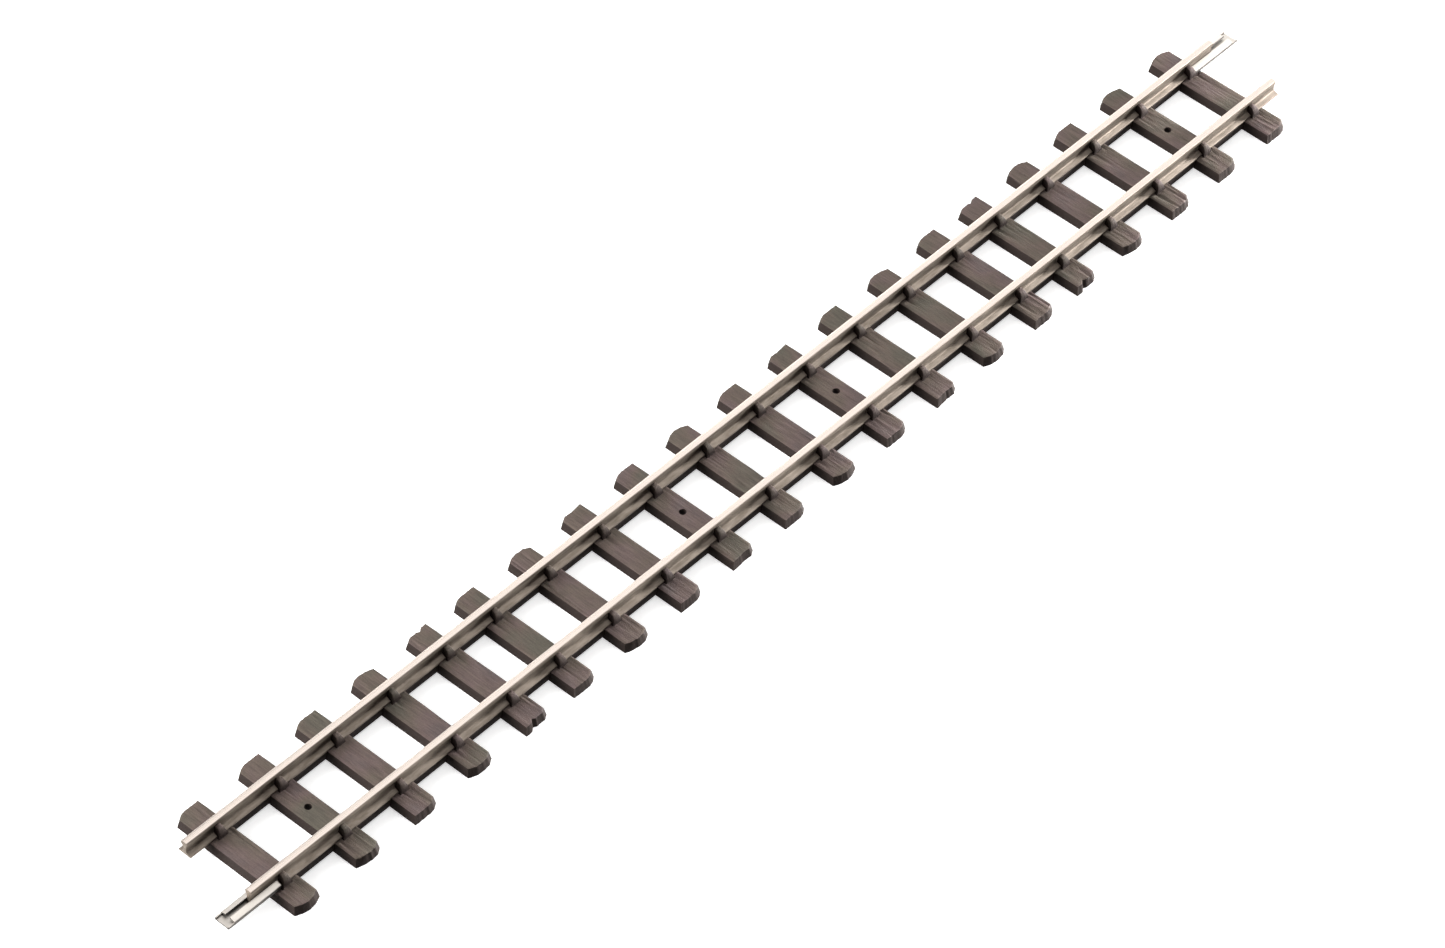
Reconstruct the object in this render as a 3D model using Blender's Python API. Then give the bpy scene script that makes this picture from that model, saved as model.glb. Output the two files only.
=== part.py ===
"""Straight section of narrow-gauge model railway track.

Two flat-bottom rails lie on twenty moulded sleepers. The sleepers are linked by a web under
each rail and hold the rails in moulded chairs. Each end of the section carries one folded
metal rail joiner, so the section looks the same after half a turn about the vertical.

X runs along the track, Y across it and Z up. The origin is under the middle of the track,
on the surface that it stands on. Lengths are in metres.
"""
from math import radians

import bmesh
import bpy

MM = 0.001

# Rails: a flat-bottom section 2.03 mm high, on a gauge of 9 mm between the heads.
GAUGE = 9.0 * MM
RAIL_LENGTH = 174.0 * MM
RAIL_HEIGHT = 2.03 * MM
HEAD_WIDTH = 0.90 * MM
HEAD_DEPTH = 0.62 * MM
HEAD_UNDERCUT = 0.08 * MM
HEAD_ROUNDING = 0.11 * MM
WEB_WIDTH = 0.50 * MM
FOOT_WIDTH = 1.90 * MM
FOOT_EDGE = 0.20 * MM
FOOT_CROWN = 0.42 * MM

# Sleepers: drafted blocks, a little wider and longer at the bottom than at the top.
SLEEPER_COUNT = 20
SLEEPER_LENGTH = 19.5 * MM
SLEEPER_WIDTH = 3.85 * MM
SLEEPER_HEIGHT = 1.25 * MM
SLEEPER_DRAFT = 0.25 * MM
REGULAR_PITCH = 8.73 * MM
CLOSE_PITCH = 7.66 * MM
END_PITCH = 9.22 * MM
CLOSE_BAYS = (5, 15)
END_BAYS = (1, 19)

# Webs between the sleepers, one under each rail, each rooted a little inside its sleeper.
LINK_ROOT = 0.50 * MM
LINK_WIDTH = 1.70 * MM
LINK_BOTTOM = 0.10 * MM
LINK_TOP = 1.12 * MM

# Chairs: hooks that reach over the rail's foot to its web, on both sides of each rail. Their
# outer face is drawn from its root upwards: each point is a distance from the rail's middle
# and a height above the rail's base, in millimetres.
CHAIR_LENGTH = 1.45 * MM
CHAIR_SINK = 0.25 * MM
CHAIR_TOP = 1.25 * MM
CHAIR_FACE = ((1.32, -0.25), (1.32, 0.25), (1.20, 0.75), (0.95, 1.10), (0.60, 1.25))

# Track-pin holes, midway between the rails.
PIN_HOLE_RADIUS = 0.45 * MM
PIN_HOLE_SLEEPERS = (2, 9, 12, 19)

# Rail joiners: folded from sheet round the rail's foot, open along the top.
JOINER_LENGTH = 7.90 * MM
JOINER_SHEET = 0.20 * MM
JOINER_FOLD = 0.08 * MM
JOINER_MOUTH = 0.90 * MM
JOINER_LIP_TIP = 0.34 * MM
JOINER_POCKET_DEPTH = 0.32 * MM
JOINER_POCKET_GAP = 0.10 * MM

# Clearance between pieces that touch on the real track.
FIT = 0.05 * MM

RAIL_Y = (GAUGE + HEAD_WIDTH) / 2
RAIL_BASE = SLEEPER_HEIGHT + FIT

# Shapes of a sleeper's rough-hewn end. Each point is a place across the sleeper, from -1 at
# one corner to 1 at the other, and how far the end is cut back there, in millimetres.
END_SHAPES = {
    "clipped": ((-1, 0.62), (-0.66, 0.18), (-0.3, 0.0), (1, 0.0)),
    "dipped": ((-1, 0.60), (-0.62, 0.12), (0.0, 0.18), (0.5, 0.08), (1, 0.0)),
    "sloping": ((-1, 0.60), (-0.62, 0.12), (-0.1, 0.0), (0.5, 0.15), (1, 0.45)),
    "notched": ((-1, 0.58), (-0.65, 0.20), (0.0, 0.18), (0.25, 0.42), (0.5, 0.0), (1, 0.0)),
    "rounded": ((-1, 0.60), (-0.62, 0.15), (-0.1, 0.0), (0.5, 0.08), (1, 0.50)),
    "domed": ((-1, 0.58), (-0.5, 0.15), (0.0, 0.0), (0.5, 0.15), (1, 0.55)),
}
END_SHAPE_OF = {
    4: "sloping", 14: "sloping", 19: "sloping",
    5: "notched", 16: "notched",
    7: "rounded", 17: "rounded",
    8: "dipped", 12: "dipped",
    10: "domed", 20: "domed",
}

# A profile drawn in a curve's own XY plane stands in YZ once it is turned this way.
PROFILE_TURN = (radians(90), 0, radians(90))


def clear_scene():
    """Remove the objects that the file opens with."""
    for old in list(bpy.data.objects):
        bpy.data.objects.remove(old, do_unlink=True)


def new_collection(name):
    """Make a collection in the scene."""
    made = bpy.data.collections.new(name)
    bpy.context.scene.collection.children.link(made)
    return made


def new_material(name, colour, roughness, metallic):
    """Make a Principled material of one colour."""
    made = bpy.data.materials.new(name)
    made.use_nodes = True
    shader = made.node_tree.nodes["Principled BSDF"]
    shader.inputs["Base Color"].default_value = (*colour, 1)
    shader.inputs["Roughness"].default_value = roughness
    shader.inputs["Metallic"].default_value = metallic
    made.diffuse_color = (*colour, 1)
    return made


def extruded_outline(name, points, thickness, collection, turn=(0, 0, 0), place=(0, 0, 0)):
    """Make a mesh object from a closed outline, thickened evenly on both sides of its plane."""
    curve = bpy.data.curves.new(name, "CURVE")
    curve.dimensions = "2D"
    curve.fill_mode = "BOTH"
    curve.extrude = thickness / 2
    spline = curve.splines.new("POLY")
    spline.points.add(len(points) - 1)
    for corner, (across, up) in zip(spline.points, points):
        corner.co = (across, up, 0, 1)
    spline.use_cyclic_u = True
    drawn = bpy.data.objects.new(name + "_outline", curve)
    drawn.rotation_euler = turn
    drawn.location = place
    collection.objects.link(drawn)
    bpy.context.view_layer.update()

    evaluated = drawn.evaluated_get(bpy.context.evaluated_depsgraph_get())
    mesh = bpy.data.meshes.new_from_object(evaluated)
    mesh.name = name
    shape = bmesh.new()
    shape.from_mesh(mesh)
    bmesh.ops.remove_doubles(shape, verts=shape.verts, dist=0.0001 * MM)
    bmesh.ops.recalc_face_normals(shape, faces=shape.faces)
    shape.to_mesh(mesh)
    shape.free()

    solid = bpy.data.objects.new(name, mesh)
    solid.matrix_world = drawn.matrix_world
    collection.objects.link(solid)
    bpy.data.objects.remove(drawn, do_unlink=True)
    return solid


def box(name, low, high, collection):
    """Make a box between two corners."""
    bpy.ops.mesh.primitive_cube_add(size=1)
    made = bpy.context.object
    made.name = name
    made.location = [(a + b) / 2 for a, b in zip(low, high)]
    made.scale = [b - a for a, b in zip(low, high)]
    move_to(made, collection)
    return made


def move_to(thing, collection):
    """Leave an object in one collection only."""
    for holder in list(thing.users_collection):
        holder.objects.unlink(thing)
    collection.objects.link(thing)


def combine(target, tool, operation):
    """Join a tool to an object, or cut it away, and hide the tool as a guide."""
    change = target.modifiers.new(tool.name, "BOOLEAN")
    change.operation = operation
    change.solver = "EXACT"
    change.object = tool
    tool.hide_render = True
    tool.display_type = "WIRE"


def mirrored(half):
    """Complete an outline from its half at positive first coordinate, bottom to top."""
    return half + [(-across, up) for across, up in reversed(half)]


def rail_outline():
    """Section of the flat-bottom rail, with its base at zero height."""
    head, web, foot = HEAD_WIDTH / 2, WEB_WIDTH / 2, FOOT_WIDTH / 2
    under_head = RAIL_HEIGHT - HEAD_DEPTH
    half = [
        (foot, 0),
        (foot, FOOT_EDGE),
        (web, FOOT_CROWN),
        (web, under_head),
        (head, under_head + HEAD_UNDERCUT),
        (head, RAIL_HEIGHT - HEAD_ROUNDING),
        (head - HEAD_ROUNDING * 0.3, RAIL_HEIGHT - HEAD_ROUNDING * 0.3),
        (head - HEAD_ROUNDING, RAIL_HEIGHT),
    ]
    return mirrored(half)


def joiner_outline():
    """Section of the joiner: a strip folded round the foot, with its two lips at the web."""
    inside = FOOT_WIDTH / 2 + FIT
    outside = inside + JOINER_SHEET
    underside = -FIT - JOINER_SHEET
    lip_low = FOOT_EDGE + FIT
    lip_high = FOOT_CROWN + FIT
    half = [
        (outside - JOINER_FOLD, underside),
        (outside, underside + JOINER_FOLD),
        (outside, lip_low + JOINER_SHEET - JOINER_FOLD),
        (outside - JOINER_FOLD, lip_low + JOINER_SHEET),
        (JOINER_LIP_TIP, lip_high + JOINER_SHEET),
        (JOINER_LIP_TIP, lip_high),
        (inside, lip_low),
        (inside, -FIT),
    ]
    return mirrored(half)


def chair_outline(side):
    """Section of a chair's hook on one side of a rail, measured from the rail's middle."""
    foot = FOOT_WIDTH / 2 + FIT
    web = WEB_WIDTH / 2 + FIT
    outer = [(across * MM, up * MM) for across, up in CHAIR_FACE]
    inner = [
        (web, CHAIR_TOP),
        (web, FOOT_CROWN + FIT),
        (foot, FOOT_EDGE + FIT),
        (foot, -CHAIR_SINK),
    ]
    return [(side * across, up) for across, up in outer + inner]


def sleeper_centres():
    """Places of the sleepers along the track, spaced evenly but for four bays."""
    places = [0.0]
    for bay in range(1, SLEEPER_COUNT):
        step = REGULAR_PITCH
        if bay in CLOSE_BAYS:
            step = CLOSE_PITCH
        if bay in END_BAYS:
            step = END_PITCH
        places.append(places[-1] + step)
    middle = places[-1] / 2
    return [place - middle for place in places]


def sleeper_outline(number):
    """Plan of one sleeper about its own middle, from the shapes of its two ends."""
    points = []
    for turn, end in ((1, number), (-1, SLEEPER_COUNT + 1 - number)):
        for across, cut_back in END_SHAPES[END_SHAPE_OF.get(end, "clipped")]:
            x = across * SLEEPER_WIDTH / 2
            y = SLEEPER_LENGTH / 2 - cut_back * MM
            points.append((turn * x, turn * y))
    return points


def draft(block, amount):
    """Draw a sleeper's top in by the same amount on every side, about its own middle."""
    for corner in block.data.vertices:
        if corner.co.z > 0:
            corner.co.x *= 1 - 2 * amount / SLEEPER_WIDTH
            corner.co.y *= 1 - 2 * amount / SLEEPER_LENGTH


def make_sleeper(number, centres, track, cutters, plastic):
    """Make one sleeper with its four chairs and the two webs that lead to the next one."""
    centre = centres[number - 1]
    name = f"sleeper_{number:02d}"
    sleeper = extruded_outline(name, sleeper_outline(number), SLEEPER_HEIGHT, track,
                               place=(centre, 0, SLEEPER_HEIGHT / 2))
    draft(sleeper, SLEEPER_DRAFT)
    sleeper.data.materials.clear()
    sleeper.data.materials.append(plastic)

    for rail_side in (-1, 1):
        for side in (-1, 1):
            chair = extruded_outline(f"{name}_chair", chair_outline(side), CHAIR_LENGTH, cutters,
                                     PROFILE_TURN, (centre, rail_side * RAIL_Y, RAIL_BASE))
            combine(sleeper, chair, "UNION")

    if number < SLEEPER_COUNT:
        start = centre + SLEEPER_WIDTH / 2 - LINK_ROOT
        end = centres[number] - SLEEPER_WIDTH / 2 - FIT
        for rail_side in (-1, 1):
            low = (start, rail_side * RAIL_Y - LINK_WIDTH / 2, LINK_BOTTOM)
            high = (end, rail_side * RAIL_Y + LINK_WIDTH / 2, LINK_TOP)
            combine(sleeper, box(f"{name}_web", low, high, cutters), "UNION")

    if number in PIN_HOLE_SLEEPERS:
        bpy.ops.mesh.primitive_cylinder_add(vertices=12, radius=PIN_HOLE_RADIUS,
                                            depth=2 * SLEEPER_HEIGHT,
                                            location=(centre, 0, SLEEPER_HEIGHT / 2))
        drill = bpy.context.object
        drill.name = f"{name}_pin_hole"
        move_to(drill, cutters)
        combine(sleeper, drill, "DIFFERENCE")

    outward = {1: -1, SLEEPER_COUNT: 1}.get(number)
    if outward:
        rail_y = outward * RAIL_Y
        half = FOOT_WIDTH / 2 + FIT + JOINER_SHEET + JOINER_POCKET_GAP
        inner = centre + outward * (CHAIR_LENGTH / 2)
        outer = centre + outward * SLEEPER_WIDTH
        low = (min(inner, outer), rail_y - half, SLEEPER_HEIGHT - JOINER_POCKET_DEPTH)
        high = (max(inner, outer), rail_y + half, 2 * SLEEPER_HEIGHT)
        combine(sleeper, box(f"{name}_joiner_pocket", low, high, cutters), "DIFFERENCE")
    return sleeper


def make_rail(name, side, track, metal):
    """Make one rail over the whole length of the section."""
    rail = extruded_outline(name, rail_outline(), RAIL_LENGTH, track,
                            PROFILE_TURN, (0, side * RAIL_Y, RAIL_BASE))
    rail.data.materials.clear()
    rail.data.materials.append(metal)
    return rail


def make_joiner(name, outward, centres, track, cutters, metal):
    """Make one joiner, pushed on to its rail as far as the end sleeper's chairs.

    Its lips are cut back at the open end, so that the next rail's foot enters easily.
    """
    end_sleeper = centres[0] if outward < 0 else centres[-1]
    inner_end = end_sleeper + outward * (CHAIR_LENGTH / 2 + FIT)
    outer_end = inner_end + outward * JOINER_LENGTH
    rail_y = outward * RAIL_Y
    joiner = extruded_outline(name, joiner_outline(), JOINER_LENGTH, track, PROFILE_TURN,
                              ((inner_end + outer_end) / 2, rail_y, RAIL_BASE))
    joiner.data.materials.clear()
    joiner.data.materials.append(metal)

    mouth = sorted((outer_end - outward * JOINER_MOUTH, outer_end + outward * JOINER_MOUTH))
    low = (mouth[0], rail_y - FOOT_WIDTH, RAIL_BASE + FOOT_EDGE)
    high = (mouth[1], rail_y + FOOT_WIDTH, RAIL_BASE + RAIL_HEIGHT)
    combine(joiner, box(f"{name}_mouth", low, high, cutters), "DIFFERENCE")
    return joiner


def main():
    """Make the whole section."""
    clear_scene()
    track = new_collection("model_track_section")
    cutters = new_collection("cutters_and_joined_shapes")
    plastic = new_material("brown_sleeper_plastic", (0.125, 0.105, 0.098), 0.75, 0.0)
    rail_metal = new_material("nickel_silver_rail", (0.70, 0.66, 0.60), 0.28, 1.0)
    joiner_metal = new_material("plated_joiner_sheet", (0.74, 0.73, 0.71), 0.30, 1.0)

    centres = sleeper_centres()
    for number in range(1, SLEEPER_COUNT + 1):
        make_sleeper(number, centres, track, cutters, plastic)
    make_rail("rail_left", 1, track, rail_metal)
    make_rail("rail_right", -1, track, rail_metal)
    make_joiner("joiner_near", -1, centres, track, cutters, joiner_metal)
    make_joiner("joiner_far", 1, centres, track, cutters, joiner_metal)


main()
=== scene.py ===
"""Looks of a straight section of narrow-gauge model track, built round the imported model.

The rails are drawn nickel silver, the sleepers are one brown plastic moulding with hewn
timber grain, and a folded metal joiner sits on one rail at each end. Lengths are in metres.
"""
from math import exp, pi, radians

import bmesh
import bpy
from mathutils import Matrix, Vector, noise


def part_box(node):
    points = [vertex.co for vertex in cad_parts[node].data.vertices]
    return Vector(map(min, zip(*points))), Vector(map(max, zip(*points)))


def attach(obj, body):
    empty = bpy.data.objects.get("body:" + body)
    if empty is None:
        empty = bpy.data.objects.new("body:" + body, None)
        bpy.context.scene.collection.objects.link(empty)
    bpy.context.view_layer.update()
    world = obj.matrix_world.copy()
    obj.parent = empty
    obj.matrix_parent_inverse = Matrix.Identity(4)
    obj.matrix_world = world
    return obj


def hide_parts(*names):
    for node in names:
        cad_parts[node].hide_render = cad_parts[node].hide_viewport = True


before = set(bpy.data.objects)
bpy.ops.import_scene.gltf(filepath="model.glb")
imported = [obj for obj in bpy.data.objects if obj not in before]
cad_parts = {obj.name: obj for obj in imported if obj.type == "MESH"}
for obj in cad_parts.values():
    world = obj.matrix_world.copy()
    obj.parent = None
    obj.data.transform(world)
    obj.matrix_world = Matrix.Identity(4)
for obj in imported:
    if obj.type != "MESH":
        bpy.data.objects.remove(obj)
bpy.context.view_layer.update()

MM = 0.001

# Place of the rails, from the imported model. Both stand at the same height and distance.
rail_low, rail_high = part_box("rail_left")
RAIL_BASE = rail_low[2]
RAIL_HEIGHT = rail_high[2] - rail_low[2]
RAIL_Y = (rail_low[1] + rail_high[1]) / 2

# Rail section.
HEAD_WIDTH = 0.90 * MM
HEAD_FLAT = 0.44 * MM
HEAD_DEPTH = 0.62 * MM
HEAD_UNDERCUT = 0.08 * MM
HEAD_CROWN = 0.02 * MM
WEB_WIDTH = 0.50 * MM
FOOT_WIDTH = 1.90 * MM
FOOT_EDGE = 0.20 * MM
FOOT_CROWN = 0.42 * MM

# Edges of the rail section that rolling and drawing leave round: distance from the rail's
# middle, height above its base, radius and number of segments.
RAIL_ROUNDINGS = (
    (HEAD_WIDTH / 2, RAIL_HEIGHT - HEAD_CROWN, 0.12 * MM, 4),
    (HEAD_WIDTH / 2, RAIL_HEIGHT - HEAD_DEPTH + HEAD_UNDERCUT, 0.06 * MM, 2),
    (WEB_WIDTH / 2, RAIL_HEIGHT - HEAD_DEPTH, 0.09 * MM, 3),
    (WEB_WIDTH / 2, FOOT_CROWN, 0.16 * MM, 3),
    (FOOT_WIDTH / 2, FOOT_EDGE, 0.06 * MM, 2),
    (FOOT_WIDTH / 2, 0, 0.04 * MM, 2),
)
# How near an edge has to be to one of those places to be the one meant.
SAME_PLACE = 0.001 * MM

# Sleepers. Each side and end leans in by the draft from base to top.
SLEEPER_COUNT = 20
SLEEPER_WIDTH = 3.85 * MM
SLEEPER_LENGTH = 19.5 * MM
SLEEPER_HEIGHT = 1.25 * MM
SLEEPER_DRAFT = 0.25 * MM
SLEEPER_LEVELS = (0.78, 0.52, 0.26, 0.0)
PIN_HOLE_RADIUS = 0.45 * MM
PIN_HOLE_SLEEPERS = (2, 9, 12, 19)

# Carved surface of a sleeper's top: worn rim, grain, cracks and a slightly uneven end.
TOP_SQUARES_ACROSS = 30
TOP_SQUARES_ALONG = 132
RIM_FALL = 0.05 * MM
RIM_WIDTH = 0.10 * MM
GRAIN_DEPTH = 0.05 * MM
CRACK_DEPTH = 0.12 * MM
CRACK_LEVEL = 0.38
CRACK_STEEPNESS = 3
END_UNEVENNESS = 0.05 * MM
END_RIPPLES = 5
END_REACH = 40

# Grain patterns: units to the millimetre across a sleeper and along it. The seed steps give
# each sleeper a fresh stretch of them.
FINE_GRAIN = (3.2, 0.28)
BROAD_GRAIN = (1.1, 0.12)
CRACKS = (2.0, 0.16)
GRAIN_SEED_STEP = 5.3
END_SEED_STEP = 3.1

# Hewn end shapes: place across the sleeper, from -1 to 1, and how many millimetres the end
# is cut back there.
END_SHAPES = {
    "clipped": ((-1, 0.62), (-0.66, 0.18), (-0.3, 0.0), (1, 0.0)),
    "dipped": ((-1, 0.60), (-0.62, 0.12), (0.0, 0.18), (0.5, 0.08), (1, 0.0)),
    "sloping": ((-1, 0.60), (-0.62, 0.12), (-0.1, 0.0), (0.5, 0.15), (1, 0.45)),
    "notched": ((-1, 0.58), (-0.65, 0.20), (0.0, 0.18), (0.25, 0.42), (0.5, 0.0), (1, 0.0)),
    "rounded": ((-1, 0.60), (-0.62, 0.15), (-0.1, 0.0), (0.5, 0.08), (1, 0.50)),
    "domed": ((-1, 0.58), (-0.5, 0.15), (0.0, 0.0), (0.5, 0.15), (1, 0.55)),
}
# The +Y ends that aren't clipped. The whole moulding looks the same turned half round, so
# these give the -Y ends too, counted from the last sleeper.
END_SHAPE_OF = {
    4: "sloping", 14: "sloping", 19: "sloping",
    5: "notched", 16: "notched",
    7: "rounded", 17: "rounded",
    8: "dipped", 12: "dipped",
    10: "domed", 20: "domed",
}

# Webs under the rails, which run into the sleepers on both sides of each bay.
LINK_WIDTH = 1.70 * MM
LINK_BOTTOM = 0.10 * MM
LINK_TOP = 1.12 * MM
LINK_DRAFT = 0.04 * MM
LINK_SINK_BEFORE = 0.5 * MM
LINK_SINK_AFTER = 0.4 * MM

# Chairs beside the rails. The outer face is drawn from its root upwards: distance from the
# rail's middle and height above the rail's base, in millimetres.
CHAIR_LENGTH = 1.45 * MM
CHAIR_TAPER = 0.55
CHAIR_SINK = 0.20 * MM
CHAIR_TOP = 1.25 * MM
CHAIR_FACE = ((1.32, -0.20), (1.32, 0.25), (1.20, 0.75), (0.95, 1.10), (0.60, 1.25))
CHAIR_SIDE_GAP = 0.02 * MM
CHAIR_TOP_GAP = 0.03 * MM
MOULDED_EDGE = 0.05 * MM
MOULDED_CORNER = radians(30)

# Joiners, and the room that the end sleepers leave for them.
JOINER_SHEET = 0.20 * MM
JOINER_FOLD = 0.10 * MM
JOINER_LIP_TIP = 0.34 * MM
JOINER_MOUTH = 0.90 * MM
JOINER_STEPS = 8
JOINER_POCKET_DEPTH = 0.32 * MM
JOINER_POCKET_ROOM = 0.15 * MM
FIT = 0.05 * MM

# Stage.
FLOOR_SIZE = 3.0
FLOOR_GAP = 0.02 * MM
LIGHTS = (
    # name, place, side of the square, brightness
    ("key_softbox", (-0.58, 0.38, 0.30), 0.40, 26),
    ("bounce_card", (0.58, 0.12, 0.78), 1.2, 1.6),
    ("low_softbox", (0.42, -0.11, 0.032), 0.07, 700),
    ("top_softbox", (0.0, -0.15, 0.80), 0.5, 1.5),
    ("rear_card", (0.46, 0.70, 0.32), 0.35, 5),
)


# ---------------------------------------------------------------- helpers

def mesh_object(name, shape, material=None):
    """Turn a bmesh into an object in the scene."""
    mesh = bpy.data.meshes.new(name)
    shape.to_mesh(mesh)
    shape.free()
    if material:
        mesh.materials.append(material)
    made = bpy.data.objects.new(name, mesh)
    bpy.context.scene.collection.objects.link(made)
    return made


def finished(shape, name, material, body, slot, *nodes, smooth_below):
    """Turn a bmesh into a piece that rides on a body and stands for CAD nodes.

    Edges that turn by less than smooth_below degrees are shaded smooth.
    """
    piece = mesh_object(name, shape, material)
    piece.data.shade_smooth()
    piece.data.set_sharp_from_angle(angle=radians(smooth_below))
    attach(piece, body)
    if nodes:
        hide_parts(*nodes)


def kept(kind, parts):
    """The parts of one kind among a bmesh operator's results."""
    return [part for part in parts if isinstance(part, kind)]


def prism(shape, outline, start, end, y, z):
    """Add a bar along X with the given outline in YZ, and return its new vertices."""
    corners = [shape.verts.new((start, y + across, z + up)) for across, up in outline]
    cap = shape.faces.new(corners)
    grown = bmesh.ops.extrude_face_region(shape, geom=[cap])
    moved = kept(bmesh.types.BMVert, grown["geom"])
    bmesh.ops.translate(shape, verts=moved, vec=(end - start, 0, 0))
    return corners + moved


def long_edges(shape, vertices):
    """Edges that run along X between the given vertices."""
    chosen = set(vertices)
    nearly_parallel = 0.9
    return [edge for edge in shape.edges
            if edge.verts[0] in chosen and edge.verts[1] in chosen
            and abs((edge.verts[1].co - edge.verts[0].co).normalized().x) > nearly_parallel]


def round_edges(shape, edges, radius, segments):
    """Round edges over."""
    bmesh.ops.bevel(shape, geom=edges, offset=radius, offset_type="OFFSET", segments=segments,
                    profile=0.5, affect="EDGES", material=-1, clamp_overlap=True)


def between(points, place):
    """Height of a broken line at a place."""
    for (x0, y0), (x1, y1) in zip(points, points[1:]):
        if place <= x1:
            return y0 + (y1 - y0) * (place - x0) / (x1 - x0)
    return points[-1][1]


# ---------------------------------------------------------------- materials

def colour(code):
    """Linear colour of an sRGB hex code."""
    parts = [int(code[i:i + 2], 16) / 255 for i in (1, 3, 5)]
    linear = [c / 12.92 if c <= 0.04045 else ((c + 0.055) / 1.055) ** 2.4 for c in parts]
    return (*linear, 1)


def add(tree, kind, values=None, stops=(), **settings):
    """Add a node with its settings, and fill its inputs with numbers or other outputs.

    A colour ramp also gets its stops, each a place and a hex colour.
    """
    made = tree.nodes.new(kind)
    for name, value in settings.items():
        setattr(made, name, value)
    for socket, value in (values or {}).items():
        if isinstance(value, bpy.types.NodeSocket):
            tree.links.new(value, made.inputs[socket])
        else:
            made.inputs[socket].default_value = value
    for index, (where, code) in enumerate(stops):
        elements = made.color_ramp.elements
        stop = elements[index] if index < len(elements) else elements.new(where)
        stop.position = where
        stop.color = colour(code)
    return made


def new_material(name):
    """Empty material, its node tree and its shader."""
    made = bpy.data.materials.new(name)
    made.use_nodes = True
    return made, made.node_tree, made.node_tree.nodes["Principled BSDF"]


def per_mm(along, across, up):
    """Scale of a pattern with so many units to the millimetre along X, Y and Z."""
    return [1 / MM * each for each in (along, across, up)]


def sleeper_plastic():
    """Brown polypropylene, moulded matt: its tops scatter the light, and its sides carry painted
    shade.
    """
    made, tree, shader = new_material("moulded_brown_polypropylene")
    place = add(tree, "ShaderNodeTexCoord").outputs["Object"]
    # Faint drifts of colour about 5 mm wide, green-grey to purple-brown.
    drift_place = add(tree, "ShaderNodeMapping",
                      {"Vector": place, "Scale": per_mm(0.21, 0.16, 0.2)})
    drift = add(tree, "ShaderNodeTexNoise",
                {"Vector": drift_place.outputs[0], "Scale": 1.0, "Detail": 2.0})
    base = add(tree, "ShaderNodeValToRGB", {"Fac": drift.outputs["Fac"]},
               stops=((0.32, "#544F47"), (0.47, "#5A5049"), (0.60, "#5D504D"), (0.75, "#564D4C")))
    # Timber grain: streaks about 0.2 mm wide and 2 mm long that run along the sleeper.
    streak_place = add(tree, "ShaderNodeMapping",
                       {"Vector": place, "Scale": per_mm(4.5, 0.45, 1.5)})
    streak = add(tree, "ShaderNodeTexNoise",
                 {"Vector": streak_place.outputs[0], "Scale": 1.0, "Detail": 4.0,
                  "Roughness": 0.6})
    # Pitting of the mould, about 0.1 mm wide.
    speck_place = add(tree, "ShaderNodeMapping",
                      {"Vector": place, "Scale": per_mm(9.0, 6.0, 9.0)})
    speck = add(tree, "ShaderNodeTexNoise",
                {"Vector": speck_place.outputs[0], "Scale": 1.0, "Detail": 2.0})
    streak_tone = add(tree, "ShaderNodeMapRange",
                      {"Value": streak.outputs["Fac"], "From Min": 0.25, "From Max": 0.75,
                       "To Min": 0.72, "To Max": 1.22})
    speck_tone = add(tree, "ShaderNodeMapRange",
                     {"Value": speck.outputs["Fac"], "From Min": 0.25, "From Max": 0.75,
                      "To Min": 0.88, "To Max": 1.12})
    tone = add(tree, "ShaderNodeMath", {0: streak_tone.outputs[0], 1: speck_tone.outputs[0]},
               operation="MULTIPLY")
    top_colour = add(tree, "ShaderNodeMix",
                     {"Factor": 1.0, "A": base.outputs["Color"], "B": tone.outputs[0]},
                     data_type="RGBA", blend_type="MULTIPLY")
    # Painted shade: faces that look sideways or down get a darker brown than the tops.
    normal = add(tree, "ShaderNodeNewGeometry").outputs["Normal"]
    facing = add(tree, "ShaderNodeSeparateXYZ", {0: normal})
    top = add(tree, "ShaderNodeMapRange",
              {"Value": facing.outputs["Z"], "From Min": 0.25, "From Max": 0.85,
               "To Min": 0.0, "To Max": 1.0})
    shown = add(tree, "ShaderNodeMix",
                {"Factor": top.outputs[0], "A": colour("#2C2421"),
                 "B": top_colour.outputs["Result"]}, data_type="RGBA")
    tree.links.new(shown.outputs["Result"], shader.inputs["Base Color"])
    rough = add(tree, "ShaderNodeMapRange",
                {"Value": streak.outputs["Fac"], "From Min": 0.3, "From Max": 0.7,
                 "To Min": 0.56, "To Max": 0.74})
    tree.links.new(rough.outputs[0], shader.inputs["Roughness"])
    relief = add(tree, "ShaderNodeMath", {0: streak.outputs["Fac"], 1: speck.outputs["Fac"]},
                 operation="ADD")
    bump = add(tree, "ShaderNodeBump",
               {"Strength": 0.6, "Distance": 0.06 * MM, "Height": relief.outputs[0]})
    tree.links.new(bump.outputs[0], shader.inputs["Normal"])
    shader.inputs["IOR"].default_value = 1.49
    shader.inputs["Specular IOR Level"].default_value = 0.1
    return made


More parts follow.
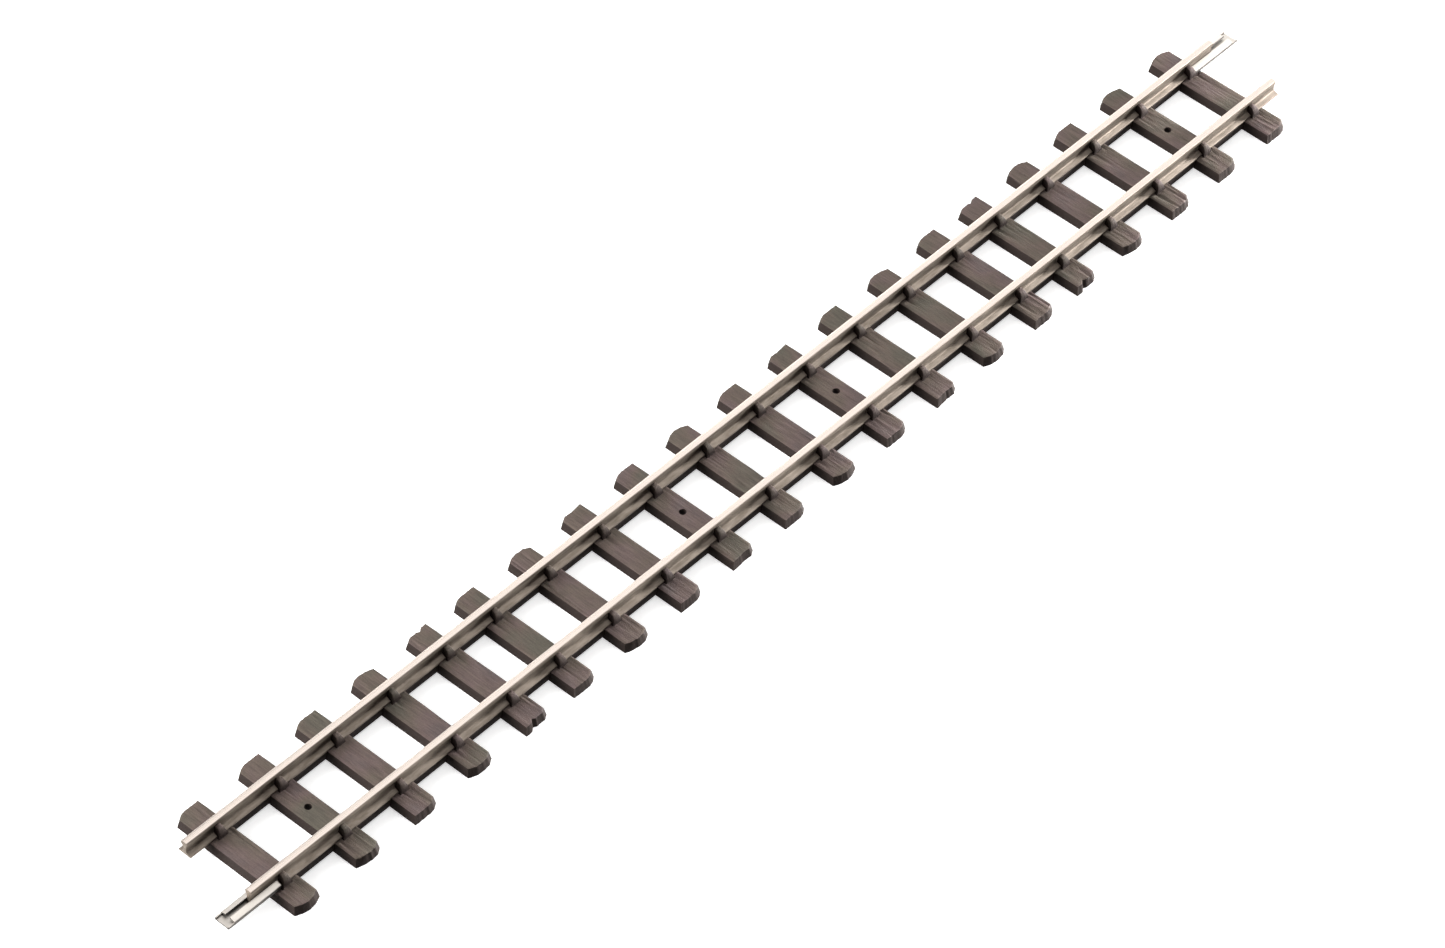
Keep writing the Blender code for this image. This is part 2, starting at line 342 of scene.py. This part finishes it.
def nickel_silver(name, bright_top_above, bright_top_colour, polished_rough, dull_rough, stain_and_shade_colours):
    """Drawn or rolled nickel silver, a warm grey metal with draw lines along it.

    Faces that look up above a height in millimetres over the floor keep a bright colour. The
    rest gets two darker hex colours: stains, made darker still as painted shade.
    """
    made, tree, shader = new_material(name)
    place = add(tree, "ShaderNodeTexCoord").outputs["Object"]
    # Draw lines: scratches about 0.1 mm apart, coarser than real ones, centimetres long.
    line_place = add(tree, "ShaderNodeMapping",
                     {"Vector": place, "Scale": per_mm(0.06, 9.0, 9.0)})
    lines = add(tree, "ShaderNodeTexNoise",
                {"Vector": line_place.outputs[0], "Scale": 1.0, "Detail": 5.0,
                 "Roughness": 0.7})
    # Tarnish: drawn-out stains about 3 mm long and 1 mm wide.
    stain_place = add(tree, "ShaderNodeMapping",
                      {"Vector": place, "Scale": per_mm(0.35, 1.2, 1.2)})
    stain = add(tree, "ShaderNodeTexNoise",
                {"Vector": stain_place.outputs[0], "Scale": 1.0, "Detail": 3.0,
                 "Roughness": 0.6})
    # Darker colours for every face but the bright top: tarnish together with painted shade.
    dark_stain, light_stain = stain_and_shade_colours
    stain_and_shade = add(tree, "ShaderNodeValToRGB", {"Fac": stain.outputs["Fac"]},
               stops=((0.35, dark_stain), (0.65, light_stain)))
    normal = add(tree, "ShaderNodeNewGeometry").outputs["Normal"]
    facing = add(tree, "ShaderNodeSeparateXYZ", {0: normal})
    in_mm = add(tree, "ShaderNodeMapping", {"Vector": place, "Scale": per_mm(1, 1, 1)})
    height = add(tree, "ShaderNodeSeparateXYZ", {0: in_mm.outputs[0]})
    up = add(tree, "ShaderNodeMapRange",
             {"Value": facing.outputs["Z"], "From Min": 0.5, "From Max": 0.95,
              "To Min": 0.0, "To Max": 1.0})
    high = add(tree, "ShaderNodeMapRange",
               {"Value": height.outputs["Z"], "From Min": bright_top_above,
                "From Max": bright_top_above + 0.15, "To Min": 0.0, "To Max": 1.0})
    # The bright top, left free of painted shade: faces that look up, above the given height.
    polish_and_unshaded_top = add(tree, "ShaderNodeMath", {0: up.outputs[0], 1: high.outputs[0]},
               operation="MULTIPLY")
    shown = add(tree, "ShaderNodeMix",
                {"Factor": polish_and_unshaded_top.outputs[0], "A": stain_and_shade.outputs["Color"], "B": colour(bright_top_colour)},
                data_type="RGBA")
    tree.links.new(shown.outputs["Result"], shader.inputs["Base Color"])
    shader.inputs["Metallic"].default_value = 1.0
    finish = add(tree, "ShaderNodeMix",
                 {"Factor": polish_and_unshaded_top.outputs[0], "A": dull_rough, "B": polished_rough},
                 data_type="FLOAT")
    spread = add(tree, "ShaderNodeMapRange",
                 {"Value": lines.outputs["Fac"], "From Min": 0.3, "From Max": 0.7,
                  "To Min": -0.06, "To Max": 0.08})
    rough = add(tree, "ShaderNodeMath", {0: finish.outputs["Result"], 1: spread.outputs[0]},
                operation="ADD")
    tree.links.new(rough.outputs[0], shader.inputs["Roughness"])
    bump = add(tree, "ShaderNodeBump",
               {"Strength": 0.5, "Distance": 0.012 * MM, "Height": lines.outputs["Fac"]})
    tree.links.new(bump.outputs[0], shader.inputs["Normal"])
    return made


def white_card():
    """Matt white card that the track lies on. It glows a little, so that it stays white."""
    made, _, shader = new_material("white_card")
    shader.inputs["Base Color"].default_value = colour("#F7F7F6")
    shader.inputs["Roughness"].default_value = 0.9
    shader.inputs["Emission Color"].default_value = colour("#FFFFFF")
    shader.inputs["Emission Strength"].default_value = 0.45
    return made


# ---------------------------------------------------------------- rails

def rail_outline():
    """Section of the rail before its edges are rounded, with its base at zero height."""
    head, web, foot = HEAD_WIDTH / 2, WEB_WIDTH / 2, FOOT_WIDTH / 2
    half = [
        (foot, 0),
        (foot, FOOT_EDGE),
        (web, FOOT_CROWN),
        (web, RAIL_HEIGHT - HEAD_DEPTH),
        (head, RAIL_HEIGHT - HEAD_DEPTH + HEAD_UNDERCUT),
        (head, RAIL_HEIGHT - HEAD_CROWN),
        (HEAD_FLAT / 2, RAIL_HEIGHT),
    ]
    return half + [(-across, up) for across, up in reversed(half)]


def make_rail(node, material):
    """Draw one rail over its CAD box, with a crowned head, fillets and softened foot."""
    low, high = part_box(node)
    y = (low[1] + high[1]) / 2
    shape = bmesh.new()
    prism(shape, rail_outline(), low[0], high[0], y, low[2])
    for across, up, radius, segments in RAIL_ROUNDINGS:
        edges = [edge for edge in long_edges(shape, shape.verts)
                 if abs(abs(edge.verts[0].co.y - y) - across) < SAME_PLACE
                 and abs(edge.verts[0].co.z - low[2] - up) < SAME_PLACE]
        round_edges(shape, edges, radius, segments)
    bmesh.ops.recalc_face_normals(shape, faces=shape.faces)
    finished(shape, node + "_drawn", material, "track", "rail_metal", node, smooth_below=40)


# ---------------------------------------------------------------- sleepers

def grain(pattern, x, y, seed):
    """One layer of grain at a place on a sleeper's top, about -1 to 1."""
    across, along = pattern
    return noise.noise(Vector((x / MM * across, y / MM * along, seed)))


def grain_cut(x, y, seed):
    """Depth of the timber grain at a place on a sleeper's top, never above the top."""
    fine = grain(FINE_GRAIN, x, y, seed)
    broad = grain(BROAD_GRAIN, x, y, seed + 9)
    crack = grain(CRACKS, x, y, seed + 21)
    depth = GRAIN_DEPTH * (0.5 + 0.6 * fine + 0.4 * broad)
    depth += CRACK_DEPTH * max(0.0, crack - CRACK_LEVEL) * CRACK_STEEPNESS
    return max(0.0, depth)


def rim_fall(distance):
    """How far a worn top edge falls at a distance in from it."""
    return RIM_FALL * exp(-(distance / RIM_WIDTH) ** 2)


def half_width(height):
    """Half a sleeper's width at a height, with its draft."""
    return SLEEPER_WIDTH / 2 - SLEEPER_DRAFT * height / SLEEPER_HEIGHT


def half_length(height):
    """Half a sleeper's length at a height, with its draft."""
    return SLEEPER_LENGTH / 2 - SLEEPER_DRAFT * height / SLEEPER_HEIGHT


def in_joiner_pocket(number, x, y):
    """Whether a place on a sleeper's top lies in the pocket for a joiner's floor."""
    side = {1: -1, SLEEPER_COUNT: 1}.get(number, 0)
    reach = FOOT_WIDTH / 2 + JOINER_SHEET + JOINER_POCKET_ROOM
    return side * x > CHAIR_LENGTH / 2 and abs(y - side * RAIL_Y) < reach


def carve_top(shape, number):
    """Bend a flat square grid to a sleeper's hewn top, at the origin."""
    minus_end = END_SHAPES[END_SHAPE_OF.get(SLEEPER_COUNT + 1 - number, "clipped")]
    plus_end = END_SHAPES[END_SHAPE_OF.get(number, "clipped")]
    width = half_width(SLEEPER_HEIGHT)
    for vertex in shape.verts:
        u, v = vertex.co.x, vertex.co.y
        cut_back = between(plus_end, u) if v > 0 else between(minus_end, -u)
        length = half_length(SLEEPER_HEIGHT) - cut_back * MM
        ripple = 1 + noise.noise(Vector((u * END_RIPPLES, number * END_SEED_STEP, v)))
        length -= END_UNEVENNESS * ripple * abs(v) ** END_REACH
        x, y = u * width, v * length
        rim = min(width - abs(x), length - abs(y))
        z = SLEEPER_HEIGHT - grain_cut(x, y, number * GRAIN_SEED_STEP) - rim_fall(rim)
        if in_joiner_pocket(number, x, y):
            z = SLEEPER_HEIGHT - JOINER_POCKET_DEPTH
        vertex.co = Vector((x, y, z))


def make_block(number, centre):
    """Hewn sleeper block: its top, and sides drawn down from the top to the flat base."""
    shape = bmesh.new()
    bmesh.ops.create_grid(shape, x_segments=TOP_SQUARES_ACROSS, y_segments=TOP_SQUARES_ALONG,
                          size=1)
    carve_top(shape, number)
    rim_edges = [edge for edge in shape.edges if edge.is_boundary]
    above = SLEEPER_HEIGHT
    for level in SLEEPER_LEVELS:
        below = level * SLEEPER_HEIGHT
        wider = half_width(below) / half_width(above)
        longer = half_length(below) / half_length(above)
        lowered = bmesh.ops.extrude_edge_only(shape, edges=rim_edges)["geom"]
        for vertex in kept(bmesh.types.BMVert, lowered):
            vertex.co = Vector((vertex.co.x * wider, vertex.co.y * longer, below))
        rim_edges = kept(bmesh.types.BMEdge, lowered)
        above = below
    bmesh.ops.holes_fill(shape, edges=rim_edges)
    bmesh.ops.translate(shape, verts=shape.verts, vec=(centre, 0, 0))
    bmesh.ops.recalc_face_normals(shape, faces=shape.faces)
    return shape


def drilled(block, x):
    """The block with a track-pin hole through its middle."""
    drill = bmesh.new()
    bmesh.ops.create_cone(drill, cap_ends=True, segments=32, radius1=PIN_HOLE_RADIUS,
                          radius2=PIN_HOLE_RADIUS, depth=4 * MM,
                          matrix=Matrix.Translation((x, 0, 0)))
    solid = mesh_object("block", block)
    tool = mesh_object("drill", drill)
    cut = solid.modifiers.new("pin_hole", "BOOLEAN")
    cut.operation = "DIFFERENCE"
    cut.solver = "EXACT"
    cut.object = tool
    bpy.context.view_layer.update()
    evaluated = solid.evaluated_get(bpy.context.evaluated_depsgraph_get())
    shape = bmesh.new()
    shape.from_mesh(evaluated.to_mesh())
    for used in (solid, tool):
        bpy.data.objects.remove(used, do_unlink=True)
    return shape


def add_links(shape, start, end):
    """Add the two webs that lead from one sleeper to the next."""
    half = LINK_WIDTH / 2
    outline = [
        (-half, LINK_BOTTOM),
        (half, LINK_BOTTOM),
        (half - LINK_DRAFT, LINK_TOP),
        (-half + LINK_DRAFT, LINK_TOP),
    ]
    for side in (-1, 1):
        corners = prism(shape, outline, start, end, side * RAIL_Y, 0)
        link_faces = {face for corner in corners for face in corner.link_faces}
        bmesh.ops.recalc_face_normals(shape, faces=list(link_faces))
        round_edges(shape, long_edges(shape, corners), MOULDED_EDGE, 2)


def make_sleeper(number, material):
    """Mould one sleeper, with the webs that lead to the next one."""
    node = f"sleeper_{number:02d}"
    low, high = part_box(node)
    centre = low[0] + SLEEPER_WIDTH / 2
    shape = make_block(number, centre)
    if number in PIN_HOLE_SLEEPERS:
        shape = drilled(shape, centre)
    if number < SLEEPER_COUNT:
        add_links(shape, centre + SLEEPER_WIDTH / 2 - LINK_SINK_BEFORE,
                  high[0] + LINK_SINK_AFTER)
    finished(shape, node + "_moulded", material, "track", "sleeper_plastic", node,
             smooth_below=38)


# ---------------------------------------------------------------- chairs

def chair_outline(side):
    """Section of one chair: a hook over the foot, up to the web under the head."""
    foot = FOOT_WIDTH / 2 + CHAIR_SIDE_GAP
    web = WEB_WIDTH / 2 + CHAIR_SIDE_GAP
    outer = [(across * MM, up * MM) for across, up in CHAIR_FACE]
    inner = [
        (web, CHAIR_TOP),
        (web, FOOT_CROWN + CHAIR_TOP_GAP),
        (foot, FOOT_EDGE + CHAIR_TOP_GAP),
        (foot, -CHAIR_SINK),
    ]
    return [(side * across, up) for across, up in outer + inner]


def make_chairs(number, material):
    """Mould the four chairs of one sleeper, each narrower towards its top."""
    low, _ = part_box(f"sleeper_{number:02d}")
    centre = low[0] + SLEEPER_WIDTH / 2
    shape = bmesh.new()
    for rail_side in (-1, 1):
        for side in (-1, 1):
            corners = prism(shape, chair_outline(side), centre - CHAIR_LENGTH / 2,
                            centre + CHAIR_LENGTH / 2, rail_side * RAIL_Y, RAIL_BASE)
            for corner in corners:
                rise = max(0.0, corner.co.z - RAIL_BASE) / CHAIR_TOP
                corner.co.x = centre + (corner.co.x - centre) * (1 - CHAIR_TAPER * rise)
    shown_edges = [edge for edge in shape.edges
                   if min(edge.verts[0].co.z, edge.verts[1].co.z) > SLEEPER_HEIGHT
                   and edge.is_manifold and edge.calc_face_angle(0) > MOULDED_CORNER]
    round_edges(shape, shown_edges, MOULDED_EDGE, 2)
    bmesh.ops.recalc_face_normals(shape, faces=shape.faces)
    finished(shape, f"chairs_{number:02d}", material, "track", "sleeper_plastic",
             smooth_below=40)


# ---------------------------------------------------------------- joiners

def joiner_line():
    """Outer face of the sheet across a joiner, from lip to lip, round the rail's foot.

    The sheet's whole thickness grows inwards from this line, so it runs 0.05 mm into the
    foot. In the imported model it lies 0.1 mm further out and is clear of the foot.
    """
    away = FIT + JOINER_SHEET / 2
    side = FOOT_WIDTH / 2 + away
    half = [(side, -away), (side, FOOT_EDGE + away), (JOINER_LIP_TIP, FOOT_CROWN + away)]
    return [(-across, up) for across, up in reversed(half)] + half


def make_joiner(node, body, outward, material):
    """Fold one joiner from sheet: a flat floor, two upright sides and two lips over the foot.

    The lips stop short of the open end, where the next rail's foot enters.
    """
    low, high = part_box(node)
    y = (low[1] + high[1]) / 2
    outer_end = high[0] if outward > 0 else low[0]
    inner_end = low[0] if outward > 0 else high[0]
    mouth = outer_end - outward * JOINER_MOUTH
    places = [inner_end + (mouth - inner_end) * step / JOINER_STEPS
              for step in range(JOINER_STEPS + 1)]
    places += [(mouth + outer_end) / 2, outer_end]

    shape = bmesh.new()
    start = [shape.verts.new((places[0], y + across, RAIL_BASE + up))
             for across, up in joiner_line()]
    strip = [shape.edges.new(pair) for pair in zip(start, start[1:])]
    for place, following in zip(places, places[1:]):
        grown = bmesh.ops.extrude_edge_only(shape, edges=strip)["geom"]
        bmesh.ops.translate(shape, verts=kept(bmesh.types.BMVert, grown),
                            vec=(following - place, 0, 0))
        strip = kept(bmesh.types.BMEdge, grown)
    folds = [edge for edge in long_edges(shape, shape.verts) if not edge.is_boundary]
    round_edges(shape, folds, JOINER_FOLD, 4)
    lips_past_mouth = [face for face in shape.faces
                       if outward * (face.calc_center_median().x - mouth) > 0
                       and face.calc_center_median().z > RAIL_BASE + FOOT_EDGE]
    bmesh.ops.delete(shape, geom=lips_past_mouth, context="FACES")
    bmesh.ops.recalc_face_normals(shape, faces=shape.faces)
    bmesh.ops.solidify(shape, geom=shape.faces[:], thickness=JOINER_SHEET)
    finished(shape, node + "_folded", material, body, "joiner_metal", node, smooth_below=35)


# ---------------------------------------------------------------- stage

def make_floor():
    """Plain pale floor just under the sleepers."""
    shape = bmesh.new()
    bmesh.ops.create_grid(shape, x_segments=1, y_segments=1, size=FLOOR_SIZE)
    bmesh.ops.translate(shape, verts=shape.verts, vec=(0, 0, -FLOOR_GAP))
    floor = mesh_object("floor", shape, white_card())
    # The card throws no light back, so that the sides of the track keep their depth.
    floor.visible_diffuse = False


def make_light(name, place, size, brightness):
    """Add a square soft light that faces the middle of the track, as bright at any size."""
    data = bpy.data.lights.new(name, "AREA")
    data.size = size
    data.energy = brightness * pi * size ** 2
    lamp = bpy.data.objects.new(name, data)
    lamp.location = place
    lamp.rotation_euler = (-Vector(place)).to_track_quat("-Z", "Y").to_euler()
    lamp.visible_camera = False
    bpy.context.scene.collection.objects.link(lamp)


def make_camera():
    """Long lens that looks down along the track from its near end."""
    data = bpy.data.cameras.new("camera")
    data.sensor_width = 36
    data.lens = 154.7
    data.clip_start = 0.01
    data.clip_end = 20
    camera = bpy.data.objects.new("camera", data)
    camera.location = (-0.36675, -0.32545, 0.52074)
    camera.rotation_euler = (radians(43.122), radians(-0.518), radians(-47.359))
    bpy.context.scene.collection.objects.link(camera)
    bpy.context.scene.camera = camera


def make_studio():
    """Soft lights behind, beside and above the track, in a dim even surround."""
    world = bpy.data.worlds.new("studio")
    world.use_nodes = True
    background = world.node_tree.nodes["Background"]
    background.inputs["Color"].default_value = colour("#F4F4F4")
    background.inputs["Strength"].default_value = 0.12
    bpy.context.scene.world = world
    for light in LIGHTS:
        make_light(*light)
    bpy.context.scene.view_settings.view_transform = "Standard"


make_camera()
make_studio()
make_floor()
plastic = sleeper_plastic()
# On the rail the head's top is rubbed bright, and the web and foot are darkened as tarnish and
# painted shade.
rail_metal = nickel_silver("drawn_nickel_silver", bright_top_above=3.2, bright_top_colour="#D3C7BE",
                           polished_rough=0.22, dull_rough=0.55,
                           stain_and_shade_colours=("#645B52", "#80766C"))
# On the joiner the faces that look up keep the bright colour, and the walls and undersides are
# darkened as painted shade.
joiner_metal = nickel_silver("bright_nickel_silver_sheet", bright_top_above=1.0,
                             bright_top_colour="#BEB8B1", polished_rough=0.42, dull_rough=0.60,
                             stain_and_shade_colours=("#565350", "#686460"))
for count in range(1, SLEEPER_COUNT + 1):
    make_sleeper(count, plastic)
    make_chairs(count, plastic)
make_rail("rail_left", rail_metal)
make_rail("rail_right", rail_metal)
make_joiner("joiner_near", "near_joiner", -1, joiner_metal)
make_joiner("joiner_far", "far_joiner", 1, joiner_metal)
